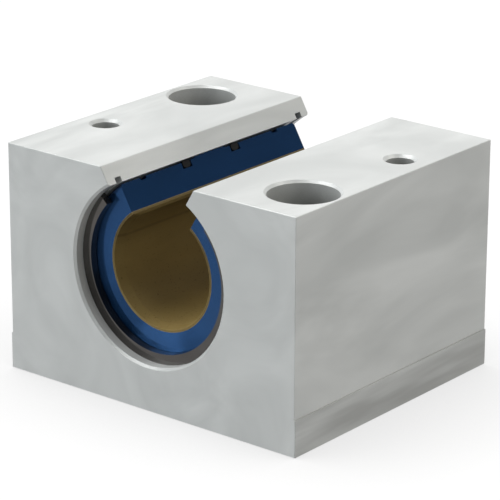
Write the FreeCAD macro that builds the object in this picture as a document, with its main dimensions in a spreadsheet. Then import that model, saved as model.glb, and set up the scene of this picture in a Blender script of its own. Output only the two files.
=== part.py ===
# Open pillow block with a self-aligning plain linear bearing, for a 25 mm shaft on a rail.
# Frame: origin in the middle of the mounting face, X across the block, Y along the shaft, Z up.
# Millimetres and degrees.
import FreeCAD, Part
import math
import os
import Sketcher

doc = FreeCAD.newDocument("linear_bearing_block")

# ---------------------------------------------------------------- driving dimensions

DIMENSIONS = [
    # block
    ("block_width", 78.0, "over the two reference edges"),
    ("block_length", 67.0, "along the shaft"),
    ("block_height", 51.0, "mounting face to top"),
    ("axis_height", 30.0, "mounting face to shaft axis"),
    ("reference_height", 8.0, "height of the reference edge along each long side"),
    ("side_relief", 0.3, "sides above the reference edge stand back by this"),
    ("edge_break", 0.12, "bevel on the block's outer edges"),
    ("least_bevel", 0.05, "on a hole that nearly breaks out of the side"),
    ("end_land", 2.5, "block beyond each retaining ring groove"),
    ("seat_radius", 20.0, "bore that the bearing sits in"),
    ("seat_chamfer", 0.5, "lead-in at both ends of the seat"),
    ("slot_width", 25.0, "V slot at the top face"),
    ("slot_half_angle", 30.0, "slot wall from the vertical"),
    # fastening
    ("screw_spacing_x", 60.0, "the two screw holes lie on one diagonal"),
    ("screw_spacing_y", 40.0, ""),
    ("screw_hole_radius", 4.5, "clearance hole"),
    ("counterbore_radius", 7.5, "room for a cap screw's head"),
    ("counterbore_depth", 21.0, ""),
    ("counterbore_chamfer", 0.7, ""),
    ("pin_spacing_x", 64.0, "the two pin holes lie on the other diagonal"),
    ("pin_spacing_y", 20.0, ""),
    ("pin_hole_radius", 3.0, ""),
    ("pin_hole_chamfer", 0.65, ""),
    # retaining rings
    ("ring_groove_depth", 1.25, "below the seat"),
    ("ring_groove_width", 1.85, ""),
    ("ring_thickness", 1.75, ""),
    ("ring_groove_gap", 0.05, "ring to groove floor"),
    ("ring_section", 3.45, "radial width of the spring strip"),
    ("ring_half_opening", 47.5, "each end of the ring from the top"),
    ("ring_tip_radius", 1.6, "rounding on the outer corner of each end"),
    # bearing
    ("end_play", 0.15, "bearing to groove wall at each end, which sets its length"),
    ("bore_radius", 12.5, "sliding bore, for a 25 mm shaft"),
    ("liner_thickness", 1.0, ""),
    ("liner_chamfer", 0.5, "along the liner's slot edges, and the rise of its end tapers"),
    ("liner_lead_in", 2.5, "length of the taper at each end of the bore"),
    ("shell_clearance", 0.4, "shell to seat, lets the bearing tilt"),
    ("shell_chamfer", 0.5, "outer edges of the shell"),
    ("slot_setback", 1.175, "shell's cut faces behind the block's slot walls"),
    ("crown_clearance", 0.05, "top of the crown to the seat"),
    ("crown_length", 10.0, "raised middle of the shell that it rocks on"),
    ("crown_curve", 130.0, "radius of the crown's profile"),
    ("snap_groove_spacing", 43.8, "spare retaining ring grooves in the shell, middle to middle"),
    ("snap_groove_depth", 0.6, ""),
    ("o_ring_spacing", 16.1, "middle to middle"),
    ("o_ring_groove_width", 3.0, ""),
    ("o_ring_groove_depth", 1.4, ""),
    ("o_ring_width", 2.4, "squeezed cord, along the shaft"),
    ("o_ring_clearance", 0.1, "cord to seat and to groove floor"),
    # locating screw
    ("screw_radius", 2.5, "set screw that keeps the slot upright"),
    ("screw_thread_clearance", 0.02, ""),
    ("screw_recess", 1.5, "screw's driving end above the mounting face"),
    ("screw_top_gap", 0.2, "screw's shoulder below the seat"),
    ("screw_mouth_chamfer", 0.5, ""),
    ("dog_radius", 1.75, ""),
    ("dog_reach", 1.9, "dog point inside the shell"),
    ("dog_clearance", 0.35, "dog point to the wall of its hole"),
    ("dog_hole_depth", 3.4, "from the seat's wall"),
    ("socket_width", 2.5, "hexagon socket across flats"),
    ("socket_depth", 2.5, ""),
]

dims = doc.addObject("Spreadsheet::Sheet", "dims")
for row, (alias, number, meaning) in enumerate(DIMENSIONS, start=1):
    dims.set(f"A{row}", alias)
    dims.set(f"B{row}", str(number))
    dims.setAlias(f"B{row}", alias)
    dims.set(f"C{row}", meaning)
doc.recompute()

# Lengths closer than this count as equal when edges are picked.
SAME = 1e-4

# Sizes that follow from the driving ones, as expressions on the sheet. The slot's walls
# meet in a line SLOT_BOTTOM above the shaft axis; SLOT_LIP is how far up a wall it reaches
# the seat, and SLOT_WALL what is left of the wall from there to the top face.
HALF_WIDTH = "dims.block_width / 2"
HALF_RELIEVED_WIDTH = "(dims.block_width / 2 - dims.side_relief)"
HALF_LENGTH = "dims.block_length / 2"
GROOVE_OUTER_WALL = f"({HALF_LENGTH} - dims.end_land)"
GROOVE_INNER_WALL = f"({GROOVE_OUTER_WALL} - dims.ring_groove_width)"
HALF_BEARING = f"({GROOVE_INNER_WALL} - dims.end_play)"
SLOPE = "(dims.slot_half_angle * 1deg)"
SLOT_BOTTOM = f"(dims.block_height - dims.axis_height - dims.slot_width / 2 / tan{SLOPE})"
SLOT_LIP = (
    f"(sqrt(dims.seat_radius ^ 2 - ({SLOT_BOTTOM} * sin{SLOPE}) ^ 2)"
    f" - {SLOT_BOTTOM} * cos{SLOPE})"
)
SLOT_WALL = f"(dims.slot_width / 2 / sin{SLOPE} - {SLOT_LIP})"
CUT_BOTTOM = f"({SLOT_BOTTOM} - dims.slot_setback / sin{SLOPE})"
LINER_RADIUS = "(dims.bore_radius + dims.liner_thickness)"
SHELL_RADIUS = "(dims.seat_radius - dims.shell_clearance)"
RING_RADIUS = "(dims.seat_radius + dims.ring_groove_depth - dims.ring_groove_gap)"
O_RING_INNER = f"({SHELL_RADIUS} - dims.o_ring_groove_depth + dims.o_ring_clearance)"
O_RING_OUTER = "(dims.seat_radius - dims.o_ring_clearance)"
SCREW_TOP = "(dims.axis_height - dims.seat_radius - dims.screw_top_gap)"
DOG_TOP = f"(dims.axis_height - {SHELL_RADIUS} + dims.dog_reach)"


def size(expression):
    """The number that an expression on the sheet gives."""
    return float(dims.evalExpression(expression))


# ---------------------------------------------------------------- helpers

def new_body(name):
    """A body that carries the sub-part's name."""
    body = doc.addObject("PartDesign::Body", name)
    body.Label = name
    return body


def origin_feature(body, role):
    """One of the body's own origin planes or axes."""
    return next(feature for feature in body.Origin.OriginFeatures if feature.Role == role)


def new_sketch(body, name, role, offset="0"):
    """A sketch on an origin plane, raised off it by an expression."""
    sketch = body.newObject("Sketcher::SketchObject", name)
    sketch.AttachmentSupport = (origin_feature(body, role), [""])
    sketch.MapMode = "FlatFace"
    sketch.setExpression("AttachmentOffset.Base.z", f"({offset}) * 1mm")
    return sketch


def place_point(sketch, geometry, point, place):
    """Tie a point of the sketch to its two expressions."""
    for axis, expression in zip(("DistanceX", "DistanceY"), place):
        index = sketch.addConstraint(
            Sketcher.Constraint(axis, -1, 1, geometry, point, size(expression))
        )
        sketch.setExpression(f"Constraints[{index}]", expression)


def draw_outline(sketch, corners):
    """A closed outline of straight lines through corners given as expressions."""
    places = [FreeCAD.Vector(size(across), size(up), 0) for across, up in corners]
    first = sketch.GeometryCount
    for start, end in zip(places, places[1:] + places[:1]):
        sketch.addGeometry(Part.LineSegment(start, end))
    count = len(corners)
    for step in range(count):
        following = first + (step + 1) % count
        sketch.addConstraint(Sketcher.Constraint("Coincident", first + step, 2, following, 1))
    for step, corner in enumerate(corners):
        place_point(sketch, first + step, 1, corner)


def draw_circle(sketch, centre, radius):
    """A circle whose centre and radius are expressions."""
    middle = FreeCAD.Vector(size(centre[0]), size(centre[1]), 0)
    circle = sketch.addGeometry(
        Part.Circle(middle, FreeCAD.Vector(0, 0, 1), size(radius))
    )
    place_point(sketch, circle, 3, centre)
    index = sketch.addConstraint(Sketcher.Constraint("Radius", circle, size(radius)))
    sketch.setExpression(f"Constraints[{index}]", radius)


def both_ways(feature):
    """Let a pad, pocket or revolution run to both sides of its sketch."""
    feature.Midplane = True


def cut_through(body, name, sketch):
    """A pocket through the whole body, to both sides of its sketch."""
    pocket = body.newObject("PartDesign::Pocket", name)
    pocket.Profile = sketch
    pocket.Type = "ThroughAll"
    both_ways(pocket)
    doc.recompute()
    return pocket


def cut_blind(body, name, sketch, depth, upwards=False):
    """A pocket of a given depth below its sketch, or above it."""
    pocket = body.newObject("PartDesign::Pocket", name)
    pocket.Profile = sketch
    pocket.Reversed = upwards
    pocket.setExpression("Length", depth)
    doc.recompute()
    return pocket


def revolve(body, name, sketch):
    """A full turn of a sketch about its own horizontal axis."""
    solid = body.newObject("PartDesign::Revolution", name)
    solid.Profile = sketch
    solid.ReferenceAxis = (sketch, ["H_Axis"])
    solid.Angle = 360
    doc.recompute()
    return solid


def bevel(body, name, is_wanted, width):
    """A chamfer on every edge of the body so far that passes a test."""
    base = body.Tip
    names = [f"Edge{i}" for i, edge in enumerate(base.Shape.Edges, start=1) if is_wanted(edge)]
    chamfer = body.newObject("PartDesign::Chamfer", name)
    chamfer.Base = (base, names)
    chamfer.setExpression("Size", width)
    doc.recompute()
    return chamfer


def is_circle(edge, radius):
    """True for a round edge of this radius."""
    return isinstance(edge.Curve, Part.Circle) and abs(edge.Curve.Radius - radius) < SAME


def cut_bearing_slot(body):
    """The V that opens the bearing at the top; its walls are parallel to the block's."""
    sketch = new_sketch(body, body.Name + "_slot_outline", "XZ_Plane")
    half_top = f"((dims.seat_radius - {CUT_BOTTOM}) * tan{SLOPE})"
    draw_outline(sketch, [
        ("0", CUT_BOTTOM),
        (half_top, "dims.seat_radius"),
        (f"-{half_top}", "dims.seat_radius"),
    ])
    cut_through(body, body.Name + "_slot", sketch)


def seat_on_axis(body, along="0"):
    """Put a body that is modelled about the shaft axis at its height and place along it."""
    body.setExpression("Placement.Base.y", f"({along}) * 1mm")
    body.setExpression("Placement.Base.z", "dims.axis_height * 1mm")


# ---------------------------------------------------------------- the block

def make_pillow_block():
    body = new_body("pillow_block")

    outline = new_sketch(body, "block_outline", "XZ_Plane")
    draw_outline(outline, [
        (f"-{HALF_WIDTH}", "0"),
        (HALF_WIDTH, "0"),
        (HALF_WIDTH, "dims.reference_height"),
        (HALF_RELIEVED_WIDTH, "dims.reference_height"),
        (HALF_RELIEVED_WIDTH, "dims.block_height"),
        (f"-{HALF_RELIEVED_WIDTH}", "dims.block_height"),
        (f"-{HALF_RELIEVED_WIDTH}", "dims.reference_height"),
        (f"-{HALF_WIDTH}", "dims.reference_height"),
    ])
    stock = body.newObject("PartDesign::Pad", "block_stock")
    stock.Profile = outline
    both_ways(stock)
    stock.setExpression("Length", "dims.block_length")
    doc.recompute()

    bore_seat(body)

    slot = new_sketch(body, "slot_outline", "XZ_Plane")
    draw_outline(slot, [
        ("0", f"dims.axis_height + {SLOT_BOTTOM}"),
        ("dims.slot_width / 2", "dims.block_height"),
        ("-dims.slot_width / 2", "dims.block_height"),
    ])
    cut_through(body, "slot", slot)

    break_edges(body)

    screw_place = ("dims.screw_spacing_x / 2", "-dims.screw_spacing_y / 2")
    hole = new_sketch(body, "screw_hole_circle", "XY_Plane")
    draw_circle(hole, screw_place, "dims.screw_hole_radius")
    screw_hole = cut_through(body, "screw_hole", hole)
    head = new_sketch(body, "counterbore_circle", "XY_Plane", "dims.block_height")
    draw_circle(head, screw_place, "dims.counterbore_radius")
    counterbore = cut_blind(body, "counterbore", head, "dims.counterbore_depth")
    pin = new_sketch(body, "pin_hole_circle", "XY_Plane")
    draw_circle(pin, ("dims.pin_spacing_x / 2", "dims.pin_spacing_y / 2"), "dims.pin_hole_radius")
    pin_hole = cut_through(body, "pin_hole", pin)
    pair = body.newObject("PartDesign::PolarPattern", "hole_pairs")
    pair.Originals = [screw_hole, counterbore, pin_hole]
    pair.Axis = (origin_feature(body, "Z_Axis"), [""])
    pair.Angle = 360
    pair.Occurrences = 2
    body.Tip = pair
    doc.recompute()

    def on_top(radius):
        """A test for round edges of this radius in the top face."""
        top = size("dims.block_height")
        return lambda edge: is_circle(edge, radius) and edge.BoundBox.ZMin > top - SAME

    def beside_wall(wanted, hole_reach):
        """A hole's bevel, less where the hole nearly reaches the block's side."""
        wall = f"({HALF_RELIEVED_WIDTH} - dims.edge_break - {hole_reach})"
        return f"min({wanted}; max({wall} / 2; dims.least_bevel))"

    counterbore_reach = "(dims.screw_spacing_x / 2 + dims.counterbore_radius)"
    pin_hole_reach = "(dims.pin_spacing_x / 2 + dims.pin_hole_radius)"
    bevel(body, "counterbore_lead_in", on_top(size("dims.counterbore_radius")),
          beside_wall("dims.counterbore_chamfer", counterbore_reach))
    bevel(body, "pin_hole_lead_in", on_top(size("dims.pin_hole_radius")),
          beside_wall("dims.pin_hole_chamfer", pin_hole_reach))

    tapped = new_sketch(body, "locating_hole_circle", "XY_Plane")
    draw_circle(tapped, ("0", "0"), "dims.screw_radius")
    cut_blind(body, "locating_hole", tapped, "dims.axis_height", True)

    def is_locating_mouth(edge):
        """The locating screw hole's edge in the mounting face."""
        return is_circle(edge, size("dims.screw_radius")) and edge.BoundBox.ZMax < SAME

    bevel(body, "locating_lead_in", is_locating_mouth, "dims.screw_mouth_chamfer")
    return body


def bore_seat(body):
    """The bearing's seat, bored in one go with its lead-ins and the two ring grooves."""
    section = new_sketch(body, "seat_section", "YZ_Plane")
    seat = "dims.axis_height + dims.seat_radius"
    lead_in = f"min(dims.seat_chamfer; {SLOT_WALL} / 2)"
    half_profile = [
        (GROOVE_INNER_WALL, seat),
        (GROOVE_INNER_WALL, f"{seat} + dims.ring_groove_depth"),
        (GROOVE_OUTER_WALL, f"{seat} + dims.ring_groove_depth"),
        (GROOVE_OUTER_WALL, seat),
        (f"({HALF_LENGTH} - {lead_in})", seat),
        (HALF_LENGTH, f"{seat} + {lead_in}"),
        (HALF_LENGTH, "dims.axis_height"),
    ]
    mirrored = [(f"-{along}", up) for along, up in reversed(half_profile)]
    draw_outline(section, half_profile + mirrored)
    axis_line = section.addGeometry(
        Part.LineSegment(
            FreeCAD.Vector(-size(HALF_LENGTH), size("dims.axis_height"), 0),
            FreeCAD.Vector(size(HALF_LENGTH), size("dims.axis_height"), 0),
        ),
        True,
    )
    place_point(section, axis_line, 1, (f"-{HALF_LENGTH}", "dims.axis_height"))
    place_point(section, axis_line, 2, (HALF_LENGTH, "dims.axis_height"))
    seat_bore = body.newObject("PartDesign::Groove", "seat")
    seat_bore.Profile = section
    seat_bore.ReferenceAxis = (section, ["Axis0"])
    seat_bore.Angle = 360
    doc.recompute()


def break_edges(body):
    """Light bevels on the block's outside and slot; the foot, steps and lips stay sharp."""
    step_height = size("dims.reference_height")
    axis_height = size("dims.axis_height")
    lip_reach = size("dims.seat_radius + dims.ring_groove_depth")

    def is_breakable(edge):
        """A straight edge that is not on the foot, on a step or in the seat's wall."""
        on_foot = edge.CenterOfMass.z < SAME
        on_step = edge.BoundBox.ZLength < SAME and abs(edge.CenterOfMass.z - step_height) < SAME
        in_seat = all(math.hypot(end.X, end.Z - axis_height) < lip_reach + SAME
                      for end in edge.Vertexes)
        return isinstance(edge.Curve, Part.Line) and not (on_foot or on_step or in_seat)

    bevel(body, "edge_breaks", is_breakable, f"min(dims.edge_break; {SLOT_WALL} / 4)")


# ---------------------------------------------------------------- retaining rings

def make_retaining_ring(name, side):
    """A C of spring strip in its groove, open at the top, with rounded tips."""
    body = new_body(name)
    half = "dims.ring_thickness / 2"
    section = new_sketch(body, name + "_section", "YZ_Plane")
    inner = f"({RING_RADIUS} - dims.ring_section)"
    draw_outline(section, [
        (f"-{half}", f"-{inner}"),
        (f"-{half}", f"-{RING_RADIUS}"),
        (half, f"-{RING_RADIUS}"),
        (half, f"-{inner}"),
    ])
    strip = body.newObject("PartDesign::Revolution", name + "_strip")
    strip.Profile = section
    strip.ReferenceAxis = (section, ["H_Axis"])
    both_ways(strip)
    strip.setExpression("Angle", "360 - 2 * dims.ring_half_opening")
    doc.recompute()

    def is_tip_corner(edge):
        """The outer corner of either end."""
        middle = edge.valueAt(edge.FirstParameter)
        reach = (middle.x ** 2 + middle.z ** 2) ** 0.5
        return isinstance(edge.Curve, Part.Line) and abs(reach - size(RING_RADIUS)) < SAME

    corners = [f"Edge{i}" for i, edge in enumerate(strip.Shape.Edges, start=1)
               if is_tip_corner(edge) and edge.BoundBox.YLength > SAME]
    rounding = body.newObject("PartDesign::Fillet", name + "_tips")
    rounding.Base = (strip, corners)
    rounding.setExpression("Radius", "dims.ring_tip_radius")
    doc.recompute()
    seat_on_axis(body, f"{side} * ({GROOVE_OUTER_WALL} - dims.ring_thickness / 2)")
    return body


# ---------------------------------------------------------------- the bearing

def make_bearing_shell():
    """The slotted tube that carries the liner, with a crown to rock on and four grooves."""
    body = new_body("bearing_shell")
    section = new_sketch(body, "shell_section", "YZ_Plane")
    shoulder = f"({SHELL_RADIUS} - dims.shell_chamfer)"
    draw_outline(section, [
        (f"-{HALF_BEARING}", LINER_RADIUS),
        (HALF_BEARING, LINER_RADIUS),
        (HALF_BEARING, shoulder),
        (f"{HALF_BEARING} - dims.shell_chamfer", SHELL_RADIUS),
        (f"-{HALF_BEARING} + dims.shell_chamfer", SHELL_RADIUS),
        (f"-{HALF_BEARING}", shoulder),
    ])
    revolve(body, "shell_tube", section)

    crown = new_sketch(body, "crown_section", "YZ_Plane")
    draw_crown(crown)
    revolve(body, "crown", crown)

    cut_ring_pair(body, "snap_grooves", "dims.snap_groove_spacing",
                  "dims.ring_groove_width", "dims.snap_groove_depth")
    cut_ring_pair(body, "o_ring_grooves", "dims.o_ring_spacing",
                  "dims.o_ring_groove_width", "dims.o_ring_groove_depth")
    cut_bearing_slot(body)

    dog_hole = new_sketch(body, "dog_hole_circle", "XY_Plane", "-dims.seat_radius")
    draw_circle(dog_hole, ("0", "0"), "dims.dog_radius + dims.dog_clearance")
    cut_blind(body, "dog_hole", dog_hole, "dims.dog_hole_depth", True)
    seat_on_axis(body)
    return body


def draw_crown(sketch):
    """A low arc over the middle of the shell, standing on the shell's own wall."""
    half = "dims.crown_length / 2"
    base = f"({SHELL_RADIUS} - dims.shell_chamfer)"
    centre_height = "(dims.seat_radius - dims.crown_clearance - dims.crown_curve)"
    foot = f"({centre_height} + sqrt(dims.crown_curve ^ 2 - ({half}) ^ 2))"
    centre = FreeCAD.Vector(0, size(centre_height), 0)
    start = math.acos(size(half) / size("dims.crown_curve"))
    circle = Part.Circle(centre, FreeCAD.Vector(0, 0, 1), size("dims.crown_curve"))
    arc = sketch.addGeometry(Part.ArcOfCircle(circle, start, math.pi - start))
    corners = [(f"-{half}", foot), (f"-{half}", base), (half, base), (half, foot)]
    places = [FreeCAD.Vector(size(across), size(up), 0) for across, up in corners]
    lines = [sketch.addGeometry(Part.LineSegment(first, second))
             for first, second in zip(places, places[1:])]
    for line, following in zip([arc] + lines, lines + [arc]):
        sketch.addConstraint(Sketcher.Constraint("Coincident", line, 2, following, 1))
    for line, corner in zip(lines, corners):
        place_point(sketch, line, 1, corner)
    place_point(sketch, lines[-1], 2, corners[-1])
    index = sketch.addConstraint(Sketcher.Constraint("Radius", arc, size("dims.crown_curve")))
    sketch.setExpression(f"Constraints[{index}]", "dims.crown_curve")


def cut_ring_pair(body, name, spacing, width, depth):
    """Two square grooves round the shell, the same distance either side of its middle."""
    section = new_sketch(body, name + "_section", "YZ_Plane")
    floor = f"({SHELL_RADIUS} - {depth})"
    mouth = f"(dims.seat_radius + {depth})"
    for side in ("-", ""):
        near = f"{side}({spacing} - {width}) / 2"
        far = f"{side}({spacing} + {width}) / 2"
        draw_outline(section, [(near, floor), (far, floor), (far, mouth), (near, mouth)])
    groove = body.newObject("PartDesign::Groove", name)
    groove.Profile = section
    groove.ReferenceAxis = (section, ["H_Axis"])
    groove.Angle = 360
    doc.recompute()
    return groove


def make_bearing_liner():
    """The thin sliding liner, with its bore, slot and lead-ins."""
    body = new_body("bearing_liner")
    section = new_sketch(body, "liner_section", "YZ_Plane")
    mouth_radius = "(dims.bore_radius + dims.liner_chamfer)"
    bore_end = f"({HALF_BEARING} - dims.liner_lead_in)"
    draw_outline(section, [
        (f"-{bore_end}", "dims.bore_radius"),
        (bore_end, "dims.bore_radius"),
        (HALF_BEARING, mouth_radius),
        (HALF_BEARING, LINER_RADIUS),
        (f"-{HALF_BEARING}", LINER_RADIUS),
        (f"-{HALF_BEARING}", mouth_radius),
    ])
    revolve(body, "liner_tube", section)
    cut_bearing_slot(body)

    lead_in = new_sketch(body, "slot_lead_in_section", "XZ_Plane")
    draw_slot_lead_ins(lead_in)
    cut_through(body, "slot_lead_ins", lead_in)
    seat_on_axis(body)
    return body


def draw_slot_lead_ins(sketch):
    """Two small triangles that take the corners off the bore where the slot meets it."""
    bore = "dims.bore_radius"
    reach = (
        f"(sqrt({bore} ^ 2 - ({CUT_BOTTOM} * sin{SLOPE}) ^ 2)"
        f" - {CUT_BOTTOM} * cos{SLOPE})"
    )
    angle_of_edge = f"({SLOPE} - asin({CUT_BOTTOM} * sin{SLOPE} / {bore}))"
    on_bore = f"({angle_of_edge} + dims.liner_chamfer / {bore} * 1rad)"
    up_the_wall = f"({reach} + dims.liner_chamfer)"
    down_the_wall = f"({reach} - dims.liner_chamfer)"
    corners = [
        (f"{up_the_wall} * sin{SLOPE}", f"{CUT_BOTTOM} + {up_the_wall} * cos{SLOPE}"),
        (f"{bore} * sin{on_bore}", f"{bore} * cos{on_bore}"),
        (f"{down_the_wall} * sin{SLOPE}", f"{CUT_BOTTOM} + {down_the_wall} * cos{SLOPE}"),
    ]
    draw_outline(sketch, corners)
    draw_outline(sketch, [(f"-{across}", up) for across, up in corners])


def make_o_ring(name, side):
    """A rubber cord squeezed to a flat-sided section, cut off flush with the shell's slot."""
    body = new_body(name)
    section = new_sketch(body, name + "_section", "YZ_Plane")
    draw_slot(section, "dims.o_ring_width", O_RING_INNER, O_RING_OUTER)
    revolve(body, name + "_cord", section)
    cut_bearing_slot(body)
    seat_on_axis(body, f"{side} * dims.o_ring_spacing / 2")
    return body


def draw_slot(sketch, width, low, high):
    """A flat-sided oval between two heights, centred on the sketch's vertical axis."""
    radius = f"(({high} - {low}) / 2)"
    middle = f"(({high} + {low}) / 2)"
    reach = f"({width} / 2 - {radius})"
    up = FreeCAD.Vector(0, 0, 1)
    ends = []
    for sign, start in ((1, -math.pi / 2), (-1, math.pi / 2)):
        centre = FreeCAD.Vector(sign * size(reach), size(middle), 0)
        arc = Part.ArcOfCircle(Part.Circle(centre, up, size(radius)), start, start + math.pi)
        ends.append(sketch.addGeometry(arc))
    right, left = ends
    for first, second in ((right, left), (left, right)):
        line = sketch.addGeometry(Part.LineSegment(
            sketch.getPoint(first, 2), sketch.getPoint(second, 1)))
        sketch.addConstraint(Sketcher.Constraint("Tangent", line, 1, first, 2))
        sketch.addConstraint(Sketcher.Constraint("Tangent", line, 2, second, 1))
    place_point(sketch, right, 3, (reach, middle))
    place_point(sketch, left, 3, (f"-{reach}", middle))
    index = sketch.addConstraint(Sketcher.Constraint("Radius", right, size(radius)))
    sketch.setExpression(f"Constraints[{index}]", radius)


# ---------------------------------------------------------------- the locating screw

def make_locating_screw():
    """A set screw whose dog point keeps the bearing's slot under the block's."""
    body = new_body("locating_screw")
    section = new_sketch(body, "screw_section", "XZ_Plane")
    shank = "(dims.screw_radius - dims.screw_thread_clearance)"
    draw_outline(section, [
        ("0", "dims.screw_recess"),
        (shank, "dims.screw_recess"),
        (shank, SCREW_TOP),
        ("dims.dog_radius", SCREW_TOP),
        ("dims.dog_radius", DOG_TOP),
        ("0", DOG_TOP),
    ])
    turned = body.newObject("PartDesign::Revolution", "screw_turned")
    turned.Profile = section
    turned.ReferenceAxis = (section, ["V_Axis"])
    turned.Angle = 360
    doc.recompute()

    socket = new_sketch(body, "socket_outline", "XY_Plane", "dims.screw_recess")
    corner = "(dims.socket_width / 2 / cos(30deg))"
    draw_outline(socket, [
        (f"{corner} * cos({60 * step}deg)", f"{corner} * sin({60 * step}deg)")
        for step in range(6)
    ])
    cut_blind(body, "socket", socket, "dims.socket_depth", True)
    return body


bodies = [
    make_pillow_block(),
    make_retaining_ring("front_retaining_ring", -1),
    make_retaining_ring("rear_retaining_ring", 1),
    make_bearing_shell(),
    make_bearing_liner(),
    make_o_ring("front_o_ring", -1),
    make_o_ring("rear_o_ring", 1),
    make_locating_screw(),
]
doc.recompute()

# ---------------------------------------------------------------- check and export

for feature in doc.Objects:
    if "Invalid" in feature.State or "Error" in feature.State:
        raise RuntimeError(f"{feature.Name} failed: {feature.State}")
for body in bodies:
    if body.Shape.isNull() or not body.Shape.isValid():
        raise RuntimeError(f"{body.Label} has no valid shape")

os.makedirs("parts", exist_ok=True)
for body in bodies:
    body.Shape.exportStep(f"parts/{body.Label}.step")
    box = body.Shape.BoundBox
    print(f"{body.Label}: {len(body.Shape.Solids)} solid, {body.Shape.Volume:.1f} mm3, "
          f"x {box.XMin:.2f}..{box.XMax:.2f}, y {box.YMin:.2f}..{box.YMax:.2f}, "
          f"z {box.ZMin:.2f}..{box.ZMax:.2f}")
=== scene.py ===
# %% [markdown]
# # A linear bearing block, dressed and lit
#
# The block is a machined aluminium housing with a V-shaped slot in its top. A blue anodised
# bearing with a thin gold-brown sliding liner sits in it, between two dark spring rings. Its
# shapes come ready made as a fixed frame, so this lesson is about surfaces and light: what
# each finish is on the real part, and how shader nodes give it.

# %% Load the model
import math

import bpy
from mathutils import Matrix, Vector


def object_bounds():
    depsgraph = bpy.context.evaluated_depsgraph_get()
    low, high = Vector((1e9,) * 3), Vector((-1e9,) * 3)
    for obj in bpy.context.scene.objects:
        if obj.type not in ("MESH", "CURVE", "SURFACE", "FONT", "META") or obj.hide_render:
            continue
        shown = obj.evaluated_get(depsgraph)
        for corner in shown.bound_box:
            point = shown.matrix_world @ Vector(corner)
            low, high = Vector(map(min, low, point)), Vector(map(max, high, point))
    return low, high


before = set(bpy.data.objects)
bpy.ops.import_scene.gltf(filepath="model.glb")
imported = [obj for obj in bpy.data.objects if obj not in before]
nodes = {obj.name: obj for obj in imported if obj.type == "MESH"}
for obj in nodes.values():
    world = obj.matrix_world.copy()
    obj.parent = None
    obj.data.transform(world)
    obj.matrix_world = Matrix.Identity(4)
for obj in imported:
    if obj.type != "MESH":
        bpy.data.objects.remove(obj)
cad_low, cad_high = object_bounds()
bpy.ops.object.select_all(action="DESELECT")
print("nodes:", ", ".join(sorted(nodes)))
print("size in mm:", [round(side * 1000, 1) for side in cad_high - cad_low])

# %% [markdown]
# ## The camera
#
# A long lens far away keeps the block's edges nearly parallel, so its shape reads clearly. The
# camera looks at a point inside the block, from 39 degrees round to the right and 19 degrees
# up, and is turned a quarter of a degree about its own axis. A Track To constraint could aim
# it, but it gives no say over that last turn, so the three directions are worked out here.

# %% Find the camera's directions
AZIMUTH = math.radians(38.945)
ELEVATION = math.radians(19.4106)
ROLL = math.radians(0.24726)

backwards = Vector((
    math.sin(AZIMUTH) * math.cos(ELEVATION),
    -math.cos(AZIMUTH) * math.cos(ELEVATION),
    math.sin(ELEVATION),
))
level_right = Vector((math.cos(AZIMUTH), math.sin(AZIMUTH), 0.0))
level_up = backwards.cross(level_right)
right = math.cos(ROLL) * level_right + math.sin(ROLL) * level_up
up = backwards.cross(right)
print("the camera looks along", [round(-value, 3) for value in backwards])

# %% Place the camera
LOOK_AT = Vector((0.003351, -0.004012, 0.028345))
DISTANCE = 0.599094
LENS = 202.88
SENSOR_WIDTH = 36.0

bpy.ops.object.camera_add()
camera = bpy.context.active_object
camera.data.lens = LENS
camera.data.sensor_width = SENSOR_WIDTH
camera.data.clip_start = 0.05
camera.data.clip_end = 20.0
turn = Matrix((right, up, backwards)).transposed().to_4x4()
camera.matrix_world = Matrix.Translation(LOOK_AT + DISTANCE * backwards) @ turn
bpy.context.scene.camera = camera
print("camera at", [round(value, 3) for value in camera.matrix_world.translation])

# %% [markdown]
# ## The lamps
#
# Machined metal shows the light around it, so the studio matters as much as the finish. Small
# lamps or a sun would leave hard shadows and hot spots, so all four are soft panels. The key
# panel hangs overhead: it makes the top faces nearly white and leaves the sides grey. A cool
# panel at the front left and a warm one at the right tint the two sides. A small one in front
# reaches into the bore.

# %% Hang the soft panels
def soft_panel(name, place, size, power, colour):
    """A rectangular soft lamp that faces the middle of the block."""
    bpy.ops.object.light_add(type="AREA", location=place)
    panel = bpy.context.active_object
    panel.name = name
    panel.data.shape = "RECTANGLE"
    panel.data.size, panel.data.size_y = size
    panel.data.energy = power
    panel.data.color = colour
    panel.rotation_mode = "QUATERNION"
    panel.rotation_quaternion = (Vector(place) - middle).to_track_quat("Z", "Y")
    print(name, round(power, 2), "W")


middle = (cad_low + cad_high) / 2
soft_panel("key_panel", place=(-0.48, -0.16, 1.10), size=(1.0, 1.0),
           power=11.2, colour=(1.0, 1.0, 1.0))
soft_panel("cool_panel", place=(-0.72, -0.95, 0.31), size=(0.6, 0.6),
           power=3.5, colour=(0.93, 0.98, 1.0))
soft_panel("warm_panel", place=(0.95, 0.40, 0.85), size=(1.0, 0.7),
           power=6.4, colour=(1.0, 0.97, 0.91))
soft_panel("small_panel", place=(0.06, -1.10, 0.38), size=(0.2, 0.3),
           power=0.8, colour=(0.95, 0.98, 1.0))

# %% [markdown]
# ## The room
#
# A panorama of a real studio could be wrapped round the block, but a few plain rules need no
# file. The world adds a low, even fill. A shiny surface sees a white wall behind and to the
# left, and a dim room to the right, so the blue shell gets both bright and dark parts. The
# camera sees plain white. The Light Path node tells these kinds of ray apart.
#
# One helper makes every node from here on: it sets the node's settings, and feeds each of its
# inputs with a number, a colour or the output of another node.

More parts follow.
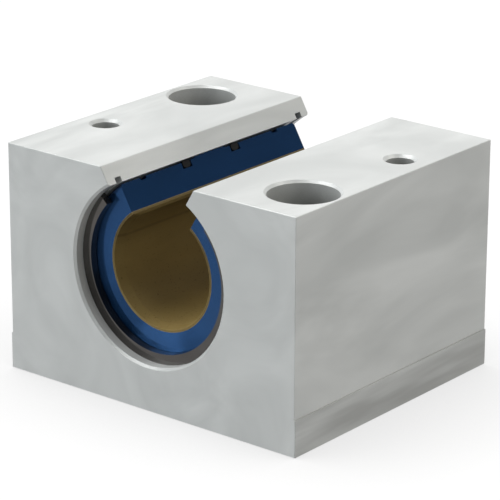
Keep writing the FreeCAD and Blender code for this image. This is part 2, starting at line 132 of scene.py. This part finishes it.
# %% Start with an empty room
def add_node(tree, kind, inputs=None, **settings):
    """A node with its settings made and its inputs fed with values or other nodes' outputs."""
    node = tree.nodes.new(kind)
    for setting, value in settings.items():
        setattr(node, setting, value)
    for label, value in (inputs or {}).items():
        if isinstance(value, bpy.types.NodeSocket):
            tree.links.new(value, node.inputs[label])
        else:
            node.inputs[label].default_value = value
    return node


world = bpy.data.worlds.new("studio")
bpy.context.scene.world = world
world.use_nodes = True
room = world.node_tree
room.nodes.clear()
print("nodes in the empty room:", len(room.nodes))


# %% Make the three backdrops
def backdrop(strength):
    """A plain white background of some strength."""
    inputs = {"Color": (1.0, 1.0, 1.0, 1.0), "Strength": strength}
    return add_node(room, "ShaderNodeBackground", inputs).outputs["Background"]


TOWARDS_WALL = (-0.63, 0.78, 0.0)
WALL_STARTS, WALL_FULL = 0.15, 0.80
FILL, DIM, WHITE = 0.14, 0.16, 1.0

direction = add_node(room, "ShaderNodeTexCoord")
facing_wall = add_node(room, "ShaderNodeVectorMath",
                       {0: direction.outputs["Generated"], 1: TOWARDS_WALL},
                       operation="DOT_PRODUCT")
wall = add_node(room, "ShaderNodeMapRange",
                {"Value": facing_wall.outputs["Value"], "From Min": WALL_STARTS,
                 "From Max": WALL_FULL, "To Min": DIM, "To Max": WHITE},
                interpolation_type="SMOOTHSTEP")
fill = backdrop(FILL)
white = backdrop(WHITE)
mirrored = backdrop(wall.outputs["Result"])
print("backdrops:", FILL, "fill,", WHITE, "seen,", DIM, "to", WHITE, "mirrored")


# %% Choose a backdrop for each kind of ray
def for_rays(tree, path, kind, usual, special):
    """The usual shader, or a special one for one kind of ray."""
    inputs = {"Fac": path.outputs[kind], 1: usual, 2: special}
    return add_node(tree, "ShaderNodeMixShader", inputs).outputs["Shader"]


path = add_node(room, "ShaderNodeLightPath")
light = for_rays(room, path, "Is Glossy Ray", fill, mirrored)
light = for_rays(room, path, "Is Transmission Ray", light, white)
light = for_rays(room, path, "Is Camera Ray", light, white)
add_node(room, "ShaderNodeOutputWorld", {"Surface": light})
bpy.context.scene.view_settings.view_transform = "Standard"
print("world nodes:", len(room.nodes))

# %% [markdown]
# ## The floor
#
# The floor is a plain pale table. A plain white one would look grey wherever the lamps fall
# off, so to the camera it glows just enough to look white. The rest of its brightness comes
# from the lamps, so the block still leaves a soft shadow on it. Where the block stands close,
# less of the room reaches the floor, and an Ambient Occlusion node finds those places: there
# the glow is dimmed, a painted contact shadow. The light that the floor sends back to the
# block is kept low by a separate dark surface.

# %% Lay the floor
FLOOR_SIZE = 8.0
FLOOR_GAP = 0.0002

bpy.ops.mesh.primitive_plane_add(size=FLOOR_SIZE, location=(0.0, 0.0, cad_low.z - FLOOR_GAP))
floor = bpy.context.active_object
floor.name = "floor"
print("floor at", round(floor.location.z * 1000, 2), "mm")


# %% Give the floor its surfaces
def grey(shade):
    """A matt grey surface that the lamps light."""
    inputs = {"Color": (shade, shade, shade, 1.0)}
    return add_node(table, "ShaderNodeBsdfDiffuse", inputs).outputs["BSDF"]


def glowing(glow, shade):
    """A surface that is partly lit by the lamps and partly glows by itself."""
    lamp_free = add_node(table, "ShaderNodeEmission", {"Strength": glow}).outputs["Emission"]
    both = add_node(table, "ShaderNodeAddShader", {0: grey(shade), 1: lamp_free})
    return both.outputs["Shader"]


SHADOW_REACH = 0.045
DEEPEST, DARKEST_GLOW, OPEN_GLOW = 0.42, 0.73, 0.93
SEEN_SHADE, MIRRORED_GLOW, MIRRORED_SHADE, BOUNCE_SHADE = 0.12, 0.62, 0.20, 0.24

floor_material = bpy.data.materials.new("pale_floor")
floor_material.use_nodes = True
table = floor_material.node_tree
table.nodes.clear()
# Painted contact shadow: the glow is dimmed where the block stands close.
nearness = add_node(table, "ShaderNodeAmbientOcclusion", {"Distance": SHADOW_REACH}, samples=8)
painted_shade_openness = add_node(table, "ShaderNodeMapRange",
                    {"Value": nearness.outputs["AO"], "From Min": DEEPEST,
                     "To Min": DARKEST_GLOW, "To Max": OPEN_GLOW})
seen = glowing(painted_shade_openness.outputs["Result"], SEEN_SHADE)
in_mirror = glowing(MIRRORED_GLOW, MIRRORED_SHADE)
print("the table glows", DARKEST_GLOW, "by the block and", OPEN_GLOW, "in the open")

# %% Choose a surface for each kind of ray
path = add_node(table, "ShaderNodeLightPath")
surface = for_rays(table, path, "Is Glossy Ray", grey(BOUNCE_SHADE), in_mirror)
surface = for_rays(table, path, "Is Transmission Ray", surface, seen)
surface = for_rays(table, path, "Is Camera Ray", surface, seen)
add_node(table, "ShaderNodeOutputMaterial", {"Surface": surface})
floor.data.materials.append(floor_material)
print("floor nodes:", len(table.nodes))

# %% [markdown]
# ## Shared finish groups
#
# Some effects come back in several materials. Their nodes could be copied into each one, but a
# node group is built once, has named inputs, and is mended in one place. The six groups here
# are clouds, grain, edge wear and glint, painted recess shade, turning rings and the ground
# strip. They give out only masks, values and directions, and each material decides what to do
# with them. A few small helpers come first, so that each group reads as the sum it works out.

# %% Helpers for sums and for groups
def new_group(name, inputs, output, output_kind="NodeSocketFloat"):
    """A shader node group with named inputs and one output; returns it with its two ends."""
    group = bpy.data.node_groups.new(name, "ShaderNodeTree")
    for label, value in inputs.items():
        kind = "NodeSocketFloat" if isinstance(value, float) else "NodeSocketVector"
        socket = group.interface.new_socket(name=label, in_out="INPUT", socket_type=kind)
        socket.default_value = value
    group.interface.new_socket(name=output, in_out="OUTPUT", socket_type=output_kind)
    return group, group.nodes.new("NodeGroupInput"), group.nodes.new("NodeGroupOutput")


def maths(tree, operation, *values):
    """What a Math node makes of some numbers or outputs."""
    inputs = dict(enumerate(values))
    return add_node(tree, "ShaderNodeMath", inputs, operation=operation).outputs["Value"]


def vector_maths(tree, operation, *values):
    """A Vector Math node that works on some vectors or outputs."""
    return add_node(tree, "ShaderNodeVectorMath", dict(enumerate(values)), operation=operation)


print("helpers: new_group, maths, vector_maths")


# %% Helpers for places, directions and noise
def axes_of(tree, vector):
    """The X, Y and Z of a vector."""
    return add_node(tree, "ShaderNodeSeparateXYZ", {"Vector": vector}).outputs


def object_place(tree):
    """Where a point is on its piece, whichever way the piece is turned."""
    return add_node(tree, "ShaderNodeTexCoord").outputs["Object"]


def face_normal(tree):
    """Which way the surface faces."""
    return add_node(tree, "ShaderNodeNewGeometry").outputs["Normal"]


def stretched_noise(tree, stretch, inputs):
    """Noise that is fixed to the piece and drawn out along some axes."""
    drawn_out = vector_maths(tree, "MULTIPLY", object_place(tree), stretch).outputs["Vector"]
    noise = add_node(tree, "ShaderNodeTexNoise", {"Vector": drawn_out, **inputs})
    return noise.outputs["Fac"]


print("helpers: axes_of, object_place, face_normal, stretched_noise")

# %% [markdown]
# Clouds are the faint, slightly drawn-out light and dark areas that rolled and anodised metal
# shows. Painting them by hand would take long and show seams at the corners. A noise that is
# fixed to the piece and stretched along the bar has none. The clouds are weaker on the ends,
# which cut across the bar's streaks.

# %% The group for clouds
NOISE_MIDDLE = 0.5


def build_clouds():
    """Soft areas from 0 to 1, with a share of their strength on faces across the bar."""
    group, start, end = new_group(
        "soft_clouds",
        {"Scale": 30.0, "Stretch": (1.0, 0.35, 1.0), "Swirl": 1.2, "End Share": 1.0},
        "Clouds",
    )
    noise = stretched_noise(group, start.outputs["Stretch"], {
        "Scale": start.outputs["Scale"], "Detail": 3.0, "Roughness": 0.45,
        "Distortion": start.outputs["Swirl"],
    })
    across = maths(group, "ABSOLUTE", axes_of(group, face_normal(group))["Y"])
    share = add_node(group, "ShaderNodeMapRange",
                     {"Value": across, "To Min": 1.0, "To Max": start.outputs["End Share"]})
    swing = maths(group, "SUBTRACT", noise, NOISE_MIDDLE)
    clouds = maths(group, "MULTIPLY_ADD", swing, share.outputs["Result"], NOISE_MIDDLE)
    group.links.new(clouds, end.inputs["Clouds"])
    return group


clouds_group = build_clouds()
print(clouds_group.name, "has", len(clouds_group.nodes), "nodes")

# %% [markdown]
# Grain is the fine tooth of a machined or blasted face. A grain texture file would repeat and
# blur close up, so it is a very fine noise, which serves as a height and as a mask.


# %% The group for grain
def build_grain():
    """Fine tooth from 0 to 1."""
    group, start, end = new_group(
        "fine_grain", {"Size": 9000.0, "Stretch": (1.0, 1.0, 1.0)}, "Grain")
    noise = stretched_noise(group, start.outputs["Stretch"],
                            {"Scale": start.outputs["Size"], "Detail": 2.0})
    group.links.new(noise, end.inputs["Grain"])
    return group


grain_group = build_grain()
print(grain_group.name, "has", len(grain_group.nodes), "nodes")

# %% [markdown]
# Edge wear and glint is the paler line on a sharp corner: partly wear where handling has rubbed
# it, and partly a painted highlight where the corner would catch the light. It could be painted
# by hand along every edge. Here the Bevel node finds it instead: it gives the direction that a
# rounded corner would face, and the further that is from the true one, the paler the line.


# %% The group for edge wear and glint
def build_edge_wear_and_glint():
    """A mask, up to 1 on corners, for wear and painted highlight, from the true and a rounded
    normal.
    """
    group, start, end = new_group("edge_wear_and_glint", {"Radius": 0.0003, "Amount": 1.0}, "Wear And Glint")
    rounded = add_node(group, "ShaderNodeBevel", {"Radius": start.outputs["Radius"]}, samples=6)
    agree = vector_maths(group, "DOT_PRODUCT", rounded.outputs["Normal"], face_normal(group))
    turned = maths(group, "SUBTRACT", 1.0, agree.outputs["Value"])
    wear_and_glint = maths(group, "MULTIPLY", turned, start.outputs["Amount"])
    group.links.new(maths(group, "MINIMUM", wear_and_glint, 1.0), end.inputs["Wear And Glint"])
    return group


wear_and_glint_group = build_edge_wear_and_glint()
print(wear_and_glint_group.name, "has", len(wear_and_glint_group.nodes), "nodes")

# %% [markdown]
# The painted recess shade tells how open a surface is to its surroundings. Holes and grooves
# look darker than flat faces, because little light gets in and out of them. More lamps can't
# darken them alone, so Ambient Occlusion gives a mask for a darker colour: painted shade. It
# looks only at the piece itself, so that the mask stays when the pieces around it are moved.


# %% The group for painted recess shade
def build_painted_recess_shade():
    """A mask for painted shade: 1 on a flat face, less in a hole."""
    group, start, end = new_group(
        "painted_shade_in_recesses", {"Reach": 0.012, "Shut": 0.1, "Clear": 0.5}, "Open")
    painted_shade_openness = add_node(group, "ShaderNodeAmbientOcclusion",
                        {"Distance": start.outputs["Reach"]}, samples=8, only_local=True)
    shaped = add_node(group, "ShaderNodeMapRange", {
        "Value": painted_shade_openness.outputs["AO"],
        "From Min": start.outputs["Shut"], "From Max": start.outputs["Clear"],
    })
    group.links.new(shaped.outputs["Result"], end.inputs["Open"])
    return group


painted_recess_shade_group = build_painted_recess_shade()
print(painted_recess_shade_group.name, "has", len(painted_recess_shade_group.nodes), "nodes")

# %% [markdown]
# Turning rings are the fine rings that a lathe tool leaves on an end, and they draw light out
# into a fan. Real ridges this small would need millions of faces. A wave of the distance from
# the axis leans the face's direction in and out instead. Only the crests of the wave lean, so
# the flats between them still mirror what is in front.

# %% The group for turning rings
FULL_TURN = 2.0 * math.pi
END_FACING = 0.9
CREST_FROM = 0.75


def build_turning():
    """The face's direction, leaning in and out across the rings on a turned end."""
    group, start, end = new_group(
        "turning_rings", {"Axis Height": 0.030, "Pitch": 0.00012, "Amount": 0.3},
        "Normal", "NodeSocketVector")
    place = axes_of(group, object_place(group))
    height = maths(group, "SUBTRACT", place["Z"], start.outputs["Axis Height"])
    spoke = add_node(group, "ShaderNodeCombineXYZ", {"X": place["X"], "Z": height})
    reach = vector_maths(group, "LENGTH", spoke.outputs["Vector"]).outputs["Value"]
    outward = vector_maths(group, "NORMALIZE", spoke.outputs["Vector"]).outputs["Vector"]
    turns = maths(group, "DIVIDE", reach, start.outputs["Pitch"])
    wave = maths(group, "SINE", maths(group, "MULTIPLY", turns, FULL_TURN))
    face = face_normal(group)
    across = maths(group, "ABSOLUTE", axes_of(group, face)["Y"])
    on_end = maths(group, "GREATER_THAN", across, END_FACING)
    crest = add_node(group, "ShaderNodeMapRange",
                     {"Value": maths(group, "ABSOLUTE", wave), "From Min": CREST_FROM})
    slope = maths(group, "MULTIPLY", wave, crest.outputs["Result"])
    on_end_slope = maths(group, "MULTIPLY", slope, on_end)
    lean = maths(group, "MULTIPLY", on_end_slope, start.outputs["Amount"])
    tilt = add_node(group, "ShaderNodeVectorMath", {"Vector": outward, "Scale": lean},
                    operation="SCALE")
    leaning = vector_maths(group, "ADD", face, tilt.outputs["Vector"]).outputs["Vector"]
    turned = vector_maths(group, "NORMALIZE", leaning).outputs["Vector"]
    group.links.new(turned, end.inputs["Normal"])
    return group


turning_group = build_turning()
print(turning_group.name, "has", len(turning_group.nodes), "nodes")

# %% [markdown]
# The ground strip is the reference edge along the bottom of both long sides. It is ground
# after milling, so it is a little darker and has streaks along the block. The strip could be
# given a material slot of its own, but its faces are easily found by their place.

# %% The group for the ground strip
ALONG_THE_BLOCK = (1.0, 0.10, 1.0)
STREAK_RANGE = (0.35, 0.65)


def build_ground_strip():
    """A streaky mask on the low faces that stand furthest out to the sides."""
    group, start, end = new_group(
        "ground_strip", {"Top": 0.008, "Beyond": 0.0388, "Least": 0.2, "Most": 0.9}, "Strip")
    place = axes_of(group, object_place(group))
    low = maths(group, "LESS_THAN", place["Z"], start.outputs["Top"])
    outwards = maths(group, "ABSOLUTE", place["X"])
    side = maths(group, "GREATER_THAN", outwards, start.outputs["Beyond"])
    streaks = stretched_noise(group, ALONG_THE_BLOCK, {"Scale": 300.0, "Detail": 2.0})
    amount = add_node(group, "ShaderNodeMapRange", {
        "Value": streaks, "From Min": STREAK_RANGE[0], "From Max": STREAK_RANGE[1],
        "To Min": start.outputs["Least"], "To Max": start.outputs["Most"],
    })
    on_strip = maths(group, "MULTIPLY", low, side)
    strip = maths(group, "MULTIPLY", on_strip, amount.outputs["Result"])
    group.links.new(strip, end.inputs["Strip"])
    return group


ground_group = build_ground_strip()
print(ground_group.name, "has", len(ground_group.nodes), "nodes")

# %% [markdown]
# ## A metal maker
#
# All the metals here are built on one pattern: two close colours mixed by the clouds, a paler
# colour on corners for wear and a painted highlight, a roughness that follows the grain, and a
# fine bump. Where a metal needs them, a painted recess shade, turning rings or a ground strip
# are added. Each metal could be wired on its own, but a function builds the pattern and each
# metal calls it with its own numbers. Noise seldom leaves the middle of its scale, so that part
# is spread over all of it.

# %% Helpers for materials and colours
def new_material(name):
    """A finish with nothing but its main shader."""
    material = bpy.data.materials.new(name)
    material.use_nodes = True
    return material, material.node_tree, material.node_tree.nodes["Principled BSDF"]


def place_group(tree, group, inputs):
    """What one use of a shared group gives, with its own numbers."""
    return add_node(tree, "ShaderNodeGroup", inputs, node_tree=group).outputs[0]


def mix_colours(tree, amount, first, second):
    """A colour between two others, which are colours or sockets."""
    node = add_node(tree, "ShaderNodeMix", {"Factor": amount}, data_type="RGBA")
    for label, colour in (("A", first), ("B", second)):
        slot = next(s for s in node.inputs if s.name == label and s.type == "RGBA")
        if isinstance(colour, tuple):
            slot.default_value = (*colour, 1.0)
        else:
            tree.links.new(colour, slot)
    return next(s for s in node.outputs if s.type == "RGBA")


print("helpers: new_material, place_group, mix_colours")


# %% Helpers for ranges and relief
CLOUD_RANGE = (0.3, 0.7)
GRAIN_RANGE = (0.25, 0.75)


def spread(tree, value, low, high, from_low=0.0, from_high=1.0):
    """A value moved from one range to another."""
    inputs = {"Value": value, "From Min": from_low, "From Max": from_high,
              "To Min": low, "To Max": high}
    return add_node(tree, "ShaderNodeMapRange", inputs).outputs["Result"]


def add_relief(tree, shader, height, bump):
    """A fine bump on the shader; returns its node."""
    relief = add_node(tree, "ShaderNodeBump", {"Height": height, **bump})
    tree.links.new(relief.outputs["Normal"], shader.inputs["Normal"])
    return relief


print("clouds are spread from", CLOUD_RANGE, "and grain from", GRAIN_RANGE)


# %% The pattern that the metals share
def make_metal(name, dark, pale, worn_and_glint, metallic, roughness, cloud, grain, bump, wear_and_glint,
               painted_recess_shade=None, turning=None, ground=None):
    """A metal from two cloud colours, an edge colour for wear and painted highlight, and a
    range of roughness.
    """
    material, tree, shader = new_material(name)
    shader.inputs["Metallic"].default_value = metallic
    clouds = place_group(tree, clouds_group, cloud)
    tooth = place_group(tree, grain_group, grain)
    edges = place_group(tree, wear_and_glint_group, wear_and_glint)
    colour = mix_colours(tree, spread(tree, clouds, 0.0, 1.0, *CLOUD_RANGE), dark, pale)
    colour = mix_colours(tree, edges, colour, worn_and_glint)
    if ground:
        strip = place_group(tree, ground_group, ground["group"])
        colour = mix_colours(tree, strip, colour, ground["colour"])
    # Painted shade: holes and grooves get a darker colour where the recess mask is low.
    if painted_recess_shade:
        painted_shade_openness = place_group(tree, painted_recess_shade_group, painted_recess_shade["group"])
        colour = mix_colours(tree, painted_shade_openness, painted_recess_shade["colour"], colour)
    tree.links.new(colour, shader.inputs["Base Color"])
    satin = spread(tree, tooth, *roughness, *GRAIN_RANGE)
    tree.links.new(satin, shader.inputs["Roughness"])
    relief = add_relief(tree, shader, tooth, bump)
    if turning:
        tree.links.new(place_group(tree, turning_group, turning), relief.inputs["Normal"])
    return material


def dress(node_name, material):
    """Give a ready made node its finish."""
    for slot in nodes[node_name].material_slots:
        slot.material = material
    print(node_name, "->", material.name)


EVENLY = (1.0, 1.0, 1.0)
print("pieces to dress:", len(nodes))

# %% [markdown]
# ## Clear anodised aluminium
#
# The block is milled from bar and clear anodised: a pale, slightly cool grey with a satin
# sheen. Faint streaks run along the bar, its holes and grooves are darkened with painted shade,
# its corners are paler by wear and a painted highlight, and the reference edges are ground. The
# oxide layer spreads the light. A fully metallic surface would be too dark and too much of a
# mirror, so the finish is partly metal and partly a plain pale surface.

# %% The block
anodised = make_metal(
    "clear_anodised_aluminium",
    # The worn colour on the corners is partly wear and partly a painted highlight.
    dark=(0.645, 0.665, 0.655), pale=(0.81, 0.83, 0.82), worn_and_glint=(0.88, 0.89, 0.88),
    metallic=0.25, roughness=(0.34, 0.46),
    cloud={"Scale": 42.0, "Stretch": (1.0, 0.30, 1.0), "Swirl": 2.4, "End Share": 0.6},
    grain={"Size": 7000.0, "Stretch": (1.0, 0.25, 1.0)},
    bump={"Strength": 0.12, "Distance": 0.00004},
    wear_and_glint={"Radius": 0.0002, "Amount": 0.25},
    # Painted shade: a darker colour in the holes and grooves.
    painted_recess_shade={"colour": (0.27, 0.275, 0.265),
            "group": {"Reach": 0.020, "Shut": 0.08, "Clear": 0.66}},
    ground={"colour": (0.50, 0.51, 0.50),
            "group": {"Top": 0.008, "Beyond": 0.0388, "Least": 0.2, "Most": 1.0}},
)
dress("pillow_block", anodised)

# %% [markdown]
# ## Blue anodised aluminium
#
# The shell's blue comes from dye in a thicker oxide layer over turned metal. A car paint with
# a clear coat would come close, but here the metal itself shines through the dye, so the blue
# is the metal's own colour. It is smoother than the block, so its end mirrors the dark ring in
# front of it, and the turning rings draw a fan of light over it.

# %% The bearing shell
blue = make_metal(
    "blue_anodised_aluminium",
    dark=(0.013, 0.062, 0.175), pale=(0.018, 0.080, 0.225), worn_and_glint=(0.045, 0.14, 0.33),
    metallic=0.75, roughness=(0.09, 0.14),
    cloud={"Scale": 60.0, "Stretch": (1.0, 0.5, 1.0), "Swirl": 0.8},
    grain={"Size": 9000.0, "Stretch": EVENLY},
    bump={"Strength": 0.05, "Distance": 0.00002},
    wear_and_glint={"Radius": 0.0002, "Amount": 0.6},
    turning={"Axis Height": 0.030, "Pitch": 0.00012, "Amount": 0.45},
)
dress("bearing_shell", blue)

# %% [markdown]
# ## Dark spring steel
#
# The retaining rings are bent from hardened strip and phosphated: a dark brownish grey that is
# still shiny. Plain black would hide their edges in the groove, so the grey is kept warm and
# their corners are painted bright, a painted highlight. The locating screw has the blacker
# finish of set screws.

# %% The rings
spring_steel = make_metal(
    "dark_spring_steel",
    # Painted highlight: the ring corners are painted bright.
    dark=(0.085, 0.080, 0.077), pale=(0.115, 0.108, 0.103), worn_and_glint=(0.26, 0.25, 0.24),
    metallic=0.9, roughness=(0.08, 0.15),
    cloud={"Scale": 120.0, "Stretch": EVENLY, "Swirl": 0.5},
    grain={"Size": 8000.0, "Stretch": EVENLY},
    bump={"Strength": 0.06, "Distance": 0.00002},
    wear_and_glint={"Radius": 0.00012, "Amount": 0.4},
)
dress("front_retaining_ring", spring_steel)
dress("rear_retaining_ring", spring_steel)

# %% The screw
black_oxide = make_metal(
    "black_oxide_steel",
    dark=(0.018, 0.018, 0.020), pale=(0.035, 0.034, 0.036), worn_and_glint=(0.20, 0.20, 0.20),
    metallic=0.8, roughness=(0.30, 0.42),
    cloud={"Scale": 300.0, "Stretch": EVENLY, "Swirl": 0.5},
    grain={"Size": 9000.0, "Stretch": EVENLY},
    bump={"Strength": 0.10, "Distance": 0.00002},
    wear_and_glint={"Radius": 0.0001, "Amount": 1.0},
)
dress("locating_screw", black_oxide)

# %% [markdown]
# ## The sliding liner
#
# The liner is a filled polymer, gold-brown, with a low sheen. It isn't a metal, so it is wired
# by itself. Its lower half is painted paler as painted light, and its upper half darker as
# painted shade. One even brown would look like paint, so each half mixes a pair of browns by
# the clouds, and the two pairs are mixed by height across the bore.

# %% The liner's two halves, painted light below and painted shade above
SHAFT_HEIGHT = 0.030
BORE_RADIUS = 0.0125
# Painted light below the axis and painted shade above it, mixed by height.
PAINTED_LIGHT_BROWNS = ((0.265, 0.190, 0.068), (0.325, 0.235, 0.085))
PAINTED_SHADE_BROWNS = ((0.150, 0.108, 0.040), (0.185, 0.134, 0.050))
PAINTED_LIGHT_BELOW, PAINTED_SHADE_ABOVE = -0.8 * BORE_RADIUS, 0.5 * BORE_RADIUS

liner, tree, shader = new_material("filled_sliding_polymer")
shader.inputs["Metallic"].default_value = 0.0
shader.inputs["Specular IOR Level"].default_value = 0.14
clouds = place_group(tree, clouds_group,
                     {"Scale": 90.0, "Stretch": (1.0, 0.4, 1.0), "Swirl": 1.0})
place = axes_of(tree, object_place(tree))
above_axis = maths(tree, "SUBTRACT", place["Z"], SHAFT_HEIGHT)
soft = spread(tree, clouds, 0.0, 1.0, *CLOUD_RANGE)
upwards = spread(tree, above_axis, 0.0, 1.0, PAINTED_LIGHT_BELOW, PAINTED_SHADE_ABOVE)
tone = mix_colours(tree, upwards, mix_colours(tree, soft, *PAINTED_LIGHT_BROWNS),
                   mix_colours(tree, soft, *PAINTED_SHADE_BROWNS))
print("the painted light part ends", round(PAINTED_SHADE_ABOVE * 1000, 2), "mm above the axis")

# %% [markdown]
# A faint dark line runs along the bore, a little way below the slot: a painted reflection of
# the dark slot edge. It could be a thin groove in the mesh, but it is painted, so it is drawn
# by
# angle: ARCTAN2 gives how far round from the top a point lies. Specks of filler are small dark
# flecks, and the cut edges are painted paler, a painted highlight.

# %% The liner's painted reflection line, flecks and painted edge highlight
LINE_ANGLE = math.radians(68.5)
LINE_WIDTH = math.radians(2.6)
LINE_DARKNESS = 0.45
PAINTED_REFLECTION_COLOUR = (0.08, 0.052, 0.020)
FLECK_COLOUR = (0.14, 0.096, 0.036)
FLECK_RANGE = (0.62, 0.78)
EDGE_HIGHLIGHT_COLOUR = (0.58, 0.45, 0.20)
LINER_ROUGHNESS = (0.36, 0.52)

# Painted reflection: a dark line along the bore, drawn by angle.
leftwards = maths(tree, "MULTIPLY", place["X"], -1.0)
from_top = maths(tree, "ARCTAN2", leftwards, above_axis)
away = maths(tree, "ABSOLUTE", maths(tree, "SUBTRACT", from_top, LINE_ANGLE))
painted_reflection_line = spread(tree, away, LINE_DARKNESS, 0.0, 0.25 * LINE_WIDTH, LINE_WIDTH)
colour = mix_colours(tree, painted_reflection_line, tone, PAINTED_REFLECTION_COLOUR)

speckle = place_group(tree, grain_group, {"Size": 2600.0, "Stretch": (1.0, 0.6, 1.0)})
# Painted highlight: the cut edges are painted paler.
edges = place_group(tree, wear_and_glint_group, {"Radius": 0.00015, "Amount": 3.0})
colour = mix_colours(tree, spread(tree, speckle, 0.0, 1.0, *FLECK_RANGE), colour, FLECK_COLOUR)
colour = mix_colours(tree, edges, colour, EDGE_HIGHLIGHT_COLOUR)
tree.links.new(colour, shader.inputs["Base Color"])
tree.links.new(spread(tree, speckle, *LINER_ROUGHNESS), shader.inputs["Roughness"])
add_relief(tree, shader, speckle, {"Strength": 0.15, "Distance": 0.00002})
dress("bearing_liner", liner)

# %% [markdown]
# ## Black rubber
#
# The two O-rings are black nitrile rubber with a matt, slightly dusty skin. Pure black would
# look like a hole, so two very dark greys are mixed by small clouds, and a weak reflection
# keeps the skin matt.

# %% The O-rings
DUST_RANGE = (0.35, 0.75)
RUBBER_ROUGHNESS = (0.5, 0.68)

rubber, tree, shader = new_material("black_rubber")
shader.inputs["Specular IOR Level"].default_value = 0.2
bloom = place_group(tree, clouds_group, {"Scale": 260.0, "Stretch": EVENLY, "Swirl": 0.8})
skin = place_group(tree, grain_group, {"Size": 6000.0, "Stretch": EVENLY})
dusty = spread(tree, bloom, 0.0, 1.0, *DUST_RANGE)
colour = mix_colours(tree, dusty, (0.006, 0.006, 0.007), (0.013, 0.013, 0.014))
tree.links.new(colour, shader.inputs["Base Color"])
tree.links.new(spread(tree, skin, *RUBBER_ROUGHNESS), shader.inputs["Roughness"])
add_relief(tree, shader, skin, {"Strength": 0.2, "Distance": 0.00003})
dress("front_o_ring", rubber)
dress("rear_o_ring", rubber)
